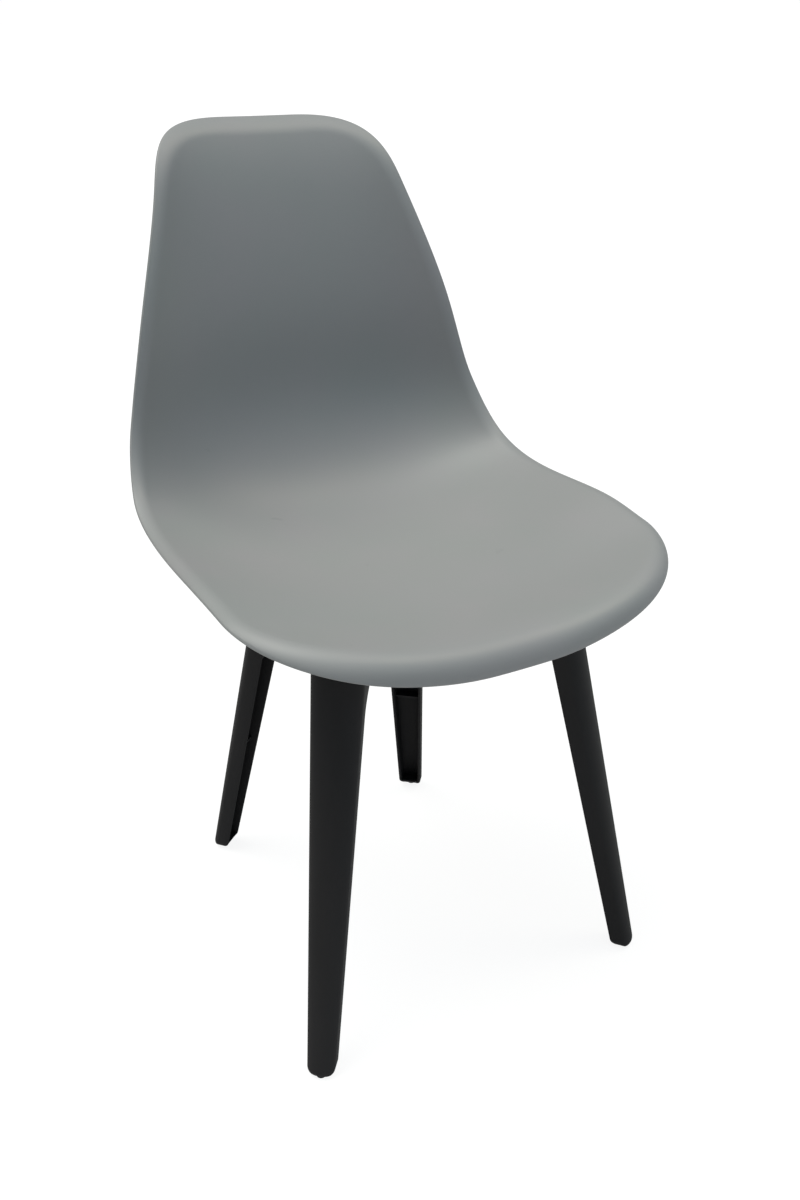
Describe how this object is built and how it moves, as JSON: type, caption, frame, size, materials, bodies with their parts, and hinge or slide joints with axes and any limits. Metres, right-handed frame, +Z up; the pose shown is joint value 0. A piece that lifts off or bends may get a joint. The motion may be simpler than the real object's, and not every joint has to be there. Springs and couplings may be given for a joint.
{
  "type": "dining chair",
  "caption": "Shell chair: one-piece moulded plastic seat and back with rolled rim, on splayed black channel legs bolted to a steel cross under the seat.",
  "frame": {"origin": "on the floor, under the middle of the chair's outer box", "axes": "+Z up, front of the chair towards -Y, X across with the plane of symmetry at X = 0; left means -X, as seen by someone who faces the front"},
  "size_m": [0.4632, 0.5376, 0.8242],
  "materials": {
    "shell_plastic": "satin grey polypropylene with a fine moulded grain",
    "leg_plastic": "matt black moulded plastic",
    "glide_plastic": "plain dark plastic",
    "frame_steel": "black powder coat",
    "zinc": "bright zinc plate",
    "pad_rubber": "matt black rubber",
    "insert_brass": "turned brass"
  },
  "bodies": {
    "root": {"seat_shell": "shell_plastic", "leg_front_left": "leg_plastic", "leg_front_right": "leg_plastic", "leg_rear_left": "leg_plastic", "leg_rear_right": "leg_plastic", "glide_front_left": "glide_plastic", "glide_front_right": "glide_plastic", "glide_rear_left": "glide_plastic", "glide_rear_right": "glide_plastic", "cross_bar_lower": "frame_steel", "cross_bar_upper": "frame_steel", "cross_rivet": "zinc", "pad_front_left": "pad_rubber", "pad_front_right": "pad_rubber", "pad_rear_left": "pad_rubber", "pad_rear_right": "pad_rubber", "shell_inserts": "insert_brass", "leg_washers": "zinc", "leg_bolts": "zinc"}
  },
  "joints": []
}
